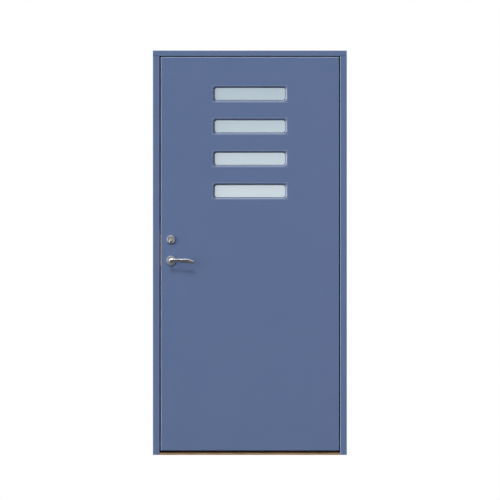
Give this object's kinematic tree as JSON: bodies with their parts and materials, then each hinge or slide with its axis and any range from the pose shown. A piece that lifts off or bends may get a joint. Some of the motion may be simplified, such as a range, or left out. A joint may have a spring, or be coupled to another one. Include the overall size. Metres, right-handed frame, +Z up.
{
  "type": "entrance door",
  "caption": "Flush entrance door leaf with a column of small horizontal windows, a lever handle and a lock cylinder, hung to open outward in a rebated frame on an oak threshold.",
  "frame": {"origin": "on the floor under the middle of the frame, half way through its depth", "axes": "+X to the right seen from outside, towards the hinge side; +Y into the building; +Z up"},
  "size_m": [0.995, 0.174, 2.075],
  "materials": {
    "leaf_paint": "satin blue-grey paint on board",
    "frame_paint": "satin blue-grey paint on wood",
    "oak": "oiled oak",
    "seal_rubber": "black weather seal",
    "insulation": "rigid foam",
    "glass": "satin insulating glass",
    "spacer": "dull spacer bar",
    "steel": "satin nickel on steel",
    "plate_steel": "dull zinc-plated steel",
    "hinge_zinc": "satin die-cast zinc"
  },
  "bodies": {
    "frame": {"lock_jamb": "frame_paint", "hinge_jamb": "frame_paint", "lock_stop": "frame_paint", "hinge_stop": "frame_paint", "frame_head": "frame_paint", "threshold": "oak", "lock_jamb_seal": "seal_rubber", "hinge_jamb_seal": "seal_rubber", "head_seal": "seal_rubber", "threshold_seal": "seal_rubber", "strike_plate": "plate_steel", "hinge_frame_cups": "hinge_zinc"},
    "leaf": {"outer_facing": "leaf_paint", "inner_facing": "leaf_paint", "lock_stile": "leaf_paint", "hinge_stile": "leaf_paint", "top_rail": "leaf_paint", "bottom_rail": "leaf_paint", "insulation_core": "insulation", "glass_spacers": "spacer", "lock_edge_plate": "plate_steel", "latch_bolt": "steel", "dead_bolt": "steel", "outer_roses": "steel", "inner_roses": "steel", "lock_cylinder": "steel", "key_plug": "steel", "thumb_turn": "steel", "hinge_leaf_cups": "hinge_zinc", "window_1_trims": "leaf_paint", "window_1_glass": "glass", "window_2_trims": "leaf_paint", "window_2_glass": "glass", "window_3_trims": "leaf_paint", "window_3_glass": "glass", "window_4_trims": "leaf_paint", "window_4_glass": "glass"},
    "levers": {"outer_lever": "steel", "inner_lever": "steel", "spindle": "plate_steel"},
    "frame_links": {"hinge_frame_links": "hinge_zinc"},
    "leaf_links": {"hinge_leaf_links": "hinge_zinc"}
  },
  "joints": [
    {"name": "leaf_swing", "type": "hinge", "parent": "frame", "child": "leaf", "pos_m": [0.46025, -0.0545, 1.032], "axis": [0, 0, 1], "range_deg": [0, 95]},
    {"name": "lever_turn", "type": "hinge", "parent": "leaf", "child": "levers", "pos_m": [-0.4045, -0.0525, 0.997], "axis": [0, 1, 0], "range_deg": [0, 45], "stiffness_Nm_per_rad": 1, "springref_deg": -34.38},
    {"name": "frame_links_turn", "type": "hinge", "parent": "frame", "child": "frame_links", "pos_m": [0.47525, -0.0295, 1.032], "axis": [0, 0, 1], "range_deg": [0, 95]},
    {"name": "leaf_links_turn", "type": "hinge", "parent": "leaf", "child": "leaf_links", "pos_m": [0.44525, -0.0295, 1.032], "axis": [0, 0, 1], "range_deg": [-95, 0]}
  ],
  "couplings": [
    {"joint": "frame_links_turn", "follows": "leaf_swing", "ratio": 1},
    {"joint": "leaf_links_turn", "follows": "leaf_swing", "ratio": -1}
  ]
}
